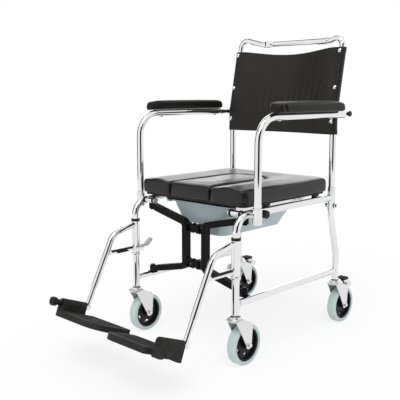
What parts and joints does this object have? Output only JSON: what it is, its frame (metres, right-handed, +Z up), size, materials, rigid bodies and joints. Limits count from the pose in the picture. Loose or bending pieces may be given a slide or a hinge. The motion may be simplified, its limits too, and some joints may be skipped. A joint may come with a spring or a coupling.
{
  "type": "shower commode chair",
  "caption": "Folding shower commode chair on castors: padded seat with lift-out insert over a sliding pan, flip-up arms, swing-away footrests, sling back.",
  "frame": {"origin": "floor, under the middle of the chair's bounding box", "axes": "+Z up, -Y the way the sitter faces, +X the sitter's left"},
  "size_m": [0.57, 0.9679, 0.9976],
  "materials": {
    "tube": "bright chrome plate",
    "fitting": "bright plate",
    "zinc": "zinc plate",
    "black_paint": "satin black",
    "black_plastic": "satin",
    "grey_plastic": "satin",
    "plate_plastic": "fine grain",
    "arm_foam": "soft moulded skin",
    "vinyl": "smooth coated cloth",
    "cushion": "smooth coated cloth",
    "board": "moulded",
    "pan": "smooth",
    "tyre": "smooth"
  },
  "bodies": {
    "right_frame": {"seat_rail_right": "tube", "lower_rail_right": "tube", "rear_leg_right": "tube", "frame_sockets_right": "fitting", "seat_stub_right": "tube", "leg_collars_right": "black_plastic", "back_post_right": "tube", "arm_hinge_right": "black_plastic", "brace_brackets_right": "black_paint", "sling_snaps_right": "fitting", "back_sling": "vinyl"},
    "left_frame": {"seat_rail_left": "tube", "lower_rail_left": "tube", "rear_leg_left": "tube", "frame_sockets_left": "fitting", "seat_stub_left": "tube", "leg_collars_left": "black_plastic", "back_post_left": "tube", "arm_hinge_left": "black_plastic", "brace_brackets_left": "black_paint", "sling_snaps_left": "fitting"},
    "brace_right": {"brace_half_right": "black_paint"},
    "brace_link": {"brace_links": "black_paint", "link_bolts": "fitting"},
    "brace_left": {"brace_half_left": "black_paint"},
    "push_link": {"push_bar_link": "tube"},
    "seat": {"seat_board": "board", "seat_pad": "cushion", "seat_saddles": "black_plastic", "pan_runners": "fitting"},
    "insert": {"seat_insert": "cushion"},
    "pan": {"commode_pan": "pan"},
    "arm_left": {"arm_tube_left": "tube", "arm_pad_left": "arm_foam"},
    "knob_left": {"lock_knob_left": "black_plastic"},
    "footrest_left": {"hanger_left": "tube"},
    "latch_left": {"latch_lever_left": "grey_plastic"},
    "extension_left": {"extension_left": "tube"},
    "plate_left": {"footplate_left": "plate_plastic"},
    "castor_front_left": {"front_fork_left": "zinc"},
    "wheel_front_left": {"front_hub_left": "black_plastic", "front_tyre_left": "tyre"},
    "castor_rear_left": {"rear_fork_left": "zinc"},
    "wheel_rear_left": {"rear_hub_left": "black_plastic", "rear_tyre_left": "tyre"},
    "brake_left": {"brake_pedal_left": "zinc"},
    "arm_right": {"arm_tube_right": "tube", "arm_pad_right": "arm_foam"},
    "knob_right": {"lock_knob_right": "black_plastic"},
    "footrest_right": {"hanger_right": "tube"},
    "latch_right": {"latch_lever_right": "grey_plastic"},
    "extension_right": {"extension_right": "tube"},
    "plate_right": {"footplate_right": "plate_plastic"},
    "castor_front_right": {"front_fork_right": "zinc"},
    "wheel_front_right": {"front_hub_right": "black_plastic", "front_tyre_right": "tyre"},
    "castor_rear_right": {"rear_fork_right": "zinc"},
    "wheel_rear_right": {"rear_hub_right": "black_plastic", "rear_tyre_right": "tyre"},
    "brake_right": {"brake_pedal_right": "zinc"}
  },
  "joints": [
    {"name": "frame_fold", "type": "hinge", "parent": "right_frame", "child": "brace_right", "pos_m": [-0.2, -0.0875, 0], "axis": [0, 0, -1], "range_deg": [0, 60], "deforming": ["back_sling"]},
    {"name": "brace_knee_right", "type": "hinge", "parent": "brace_right", "child": "brace_link", "pos_m": [-0.011, -0.0875, 0], "axis": [0, 0, 1], "range_deg": [0, 60]},
    {"name": "brace_knee_left", "type": "hinge", "parent": "brace_link", "child": "brace_left", "pos_m": [0.011, -0.0875, 0], "axis": [0, 0, 1], "range_deg": [0, 60]},
    {"name": "frame_fold_left", "type": "hinge", "parent": "brace_left", "child": "left_frame", "pos_m": [0.2, -0.0875, 0], "axis": [0, 0, -1], "range_deg": [0, 60]},
    {"name": "seat_lift", "type": "slide", "parent": "brace_link", "child": "seat", "axis": [0, 0, 1], "range_m": [0, 0.91]},
    {"name": "insert_lift", "type": "slide", "parent": "seat", "child": "insert", "axis": [0, 0, 1], "range_m": [0, 0.15]},
    {"name": "pan_slide", "type": "slide", "parent": "seat", "child": "pan", "axis": [0, 1, 0], "range_m": [0, 0.4]},
    {"name": "push_bar_hinge", "type": "hinge", "parent": "right_frame", "child": "push_link", "pos_m": [-0.082, 0.38563, 0.96857], "axis": [0, -0.982, 0.1891], "range_deg": [0, 90]},
    {"name": "arm_flip_left", "type": "hinge", "parent": "left_frame", "child": "arm_left", "pos_m": [0.25, 0.3645, 0.729], "axis": [-1, 0, 0], "range_deg": [0, 95]},
    {"name": "knob_turn_left", "type": "hinge", "parent": "left_frame", "child": "knob_left", "pos_m": [0.217, -0.0395, 0.445], "axis": [1, 0, 0], "continuous": true},
    {"name": "footrest_swing_left", "type": "hinge", "parent": "left_frame", "child": "footrest_left", "pos_m": [0.217, -0.1475, 0.32], "axis": [0, 0, 1], "range_deg": [0, 90]},
    {"name": "latch_turn_left", "type": "hinge", "parent": "footrest_left", "child": "latch_left", "pos_m": [0.19445, -0.1475, 0.3], "axis": [0, 0, 1], "range_deg": [0, 25], "stiffness_Nm_per_rad": 0.3},
    {"name": "extension_slide_left", "type": "slide", "parent": "footrest_left", "child": "extension_left", "axis": [0, -0.454, -0.891], "range_m": [-0.03, 0.05]},
    {"name": "plate_flip_left", "type": "hinge", "parent": "extension_left", "child": "plate_left", "pos_m": [0.217, -0.35691, 0.12647], "axis": [0, 0.9304, -0.3665], "range_deg": [0, 90]},
    {"name": "castor_swivel_front_left", "type": "hinge", "parent": "left_frame", "child": "castor_front_left", "pos_m": [0.217, -0.1475, 0.18], "axis": [0, 0, 1], "continuous": true},
    {"name": "wheel_spin_front_left", "type": "hinge", "parent": "castor_front_left", "child": "wheel_front_left", "pos_m": [0.217, -0.1075, 0.0625], "axis": [1, 0, 0], "continuous": true},
    {"name": "castor_swivel_rear_left", "type": "hinge", "parent": "left_frame", "child": "castor_rear_left", "pos_m": [0.217, 0.3815, 0.18], "axis": [0, 0, 1], "continuous": true},
    {"name": "wheel_spin_rear_left", "type": "hinge", "parent": "castor_rear_left", "child": "wheel_rear_left", "pos_m": [0.217, 0.4215, 0.0625], "axis": [1, 0, 0], "continuous": true},
    {"name": "brake_press_left", "type": "hinge", "parent": "castor_rear_left", "child": "brake_left", "pos_m": [0.217, 0.4395, 0.1305], "axis": [1, 0, 0], "range_deg": [0, 10], "stiffness_Nm_per_rad": 2},
    {"name": "arm_flip_right", "type": "hinge", "parent": "right_frame", "child": "arm_right", "pos_m": [-0.25, 0.3645, 0.729], "axis": [-1, 0, 0], "range_deg": [0, 95]},
    {"name": "knob_turn_right", "type": "hinge", "parent": "right_frame", "child": "knob_right", "pos_m": [-0.217, -0.0395, 0.445], "axis": [-1, 0, 0], "continuous": true},
    {"name": "footrest_swing_right", "type": "hinge", "parent": "right_frame", "child": "footrest_right", "pos_m": [-0.217, -0.1475, 0.32], "axis": [0, 0, -1], "range_deg": [0, 90]},
    {"name": "latch_turn_right", "type": "hinge", "parent": "footrest_right", "child": "latch_right", "pos_m": [-0.19445, -0.1475, 0.3], "axis": [0, 0, -1], "range_deg": [0, 25], "stiffness_Nm_per_rad": 0.3},
    {"name": "extension_slide_right", "type": "slide", "parent": "footrest_right", "child": "extension_right", "axis": [0, -0.454, -0.891], "range_m": [-0.03, 0.05]},
    {"name": "plate_flip_right", "type": "hinge", "parent": "extension_right", "child": "plate_right", "pos_m": [-0.217, -0.35282, 0.13448], "axis": [0, -0.9304, 0.3665], "range_deg": [0, 90]},
    {"name": "castor_swivel_front_right", "type": "hinge", "parent": "right_frame", "child": "castor_front_right", "pos_m": [-0.217, -0.1475, 0.18], "axis": [0, 0, 1], "continuous": true},
    {"name": "wheel_spin_front_right", "type": "hinge", "parent": "castor_front_right", "child": "wheel_front_right", "pos_m": [-0.217, -0.1075, 0.0625], "axis": [1, 0, 0], "continuous": true},
    {"name": "castor_swivel_rear_right", "type": "hinge", "parent": "right_frame", "child": "castor_rear_right", "pos_m": [-0.217, 0.3815, 0.18], "axis": [0, 0, 1], "continuous": true},
    {"name": "wheel_spin_rear_right", "type": "hinge", "parent": "castor_rear_right", "child": "wheel_rear_right", "pos_m": [-0.217, 0.4215, 0.0625], "axis": [1, 0, 0], "continuous": true},
    {"name": "brake_press_right", "type": "hinge", "parent": "castor_rear_right", "child": "brake_right", "pos_m": [-0.217, 0.4395, 0.1305], "axis": [1, 0, 0], "range_deg": [0, 10], "stiffness_Nm_per_rad": 2}
  ],
  "couplings": [
    {"joint": "brace_knee_right", "follows": "frame_fold", "ratio": 1},
    {"joint": "brace_knee_left", "follows": "frame_fold", "ratio": 1},
    {"joint": "frame_fold_left", "follows": "frame_fold", "ratio": 1},
    {"joint": "seat_lift", "follows": "frame_fold", "m_per_rad": 0.8594},
    {"joint": "push_bar_hinge", "follows": "frame_fold", "ratio": 1.5},
    {"joint": "plate_flip_left", "follows": "frame_fold", "ratio": 1.5},
    {"joint": "plate_flip_right", "follows": "frame_fold", "ratio": 1.5}
  ]
}
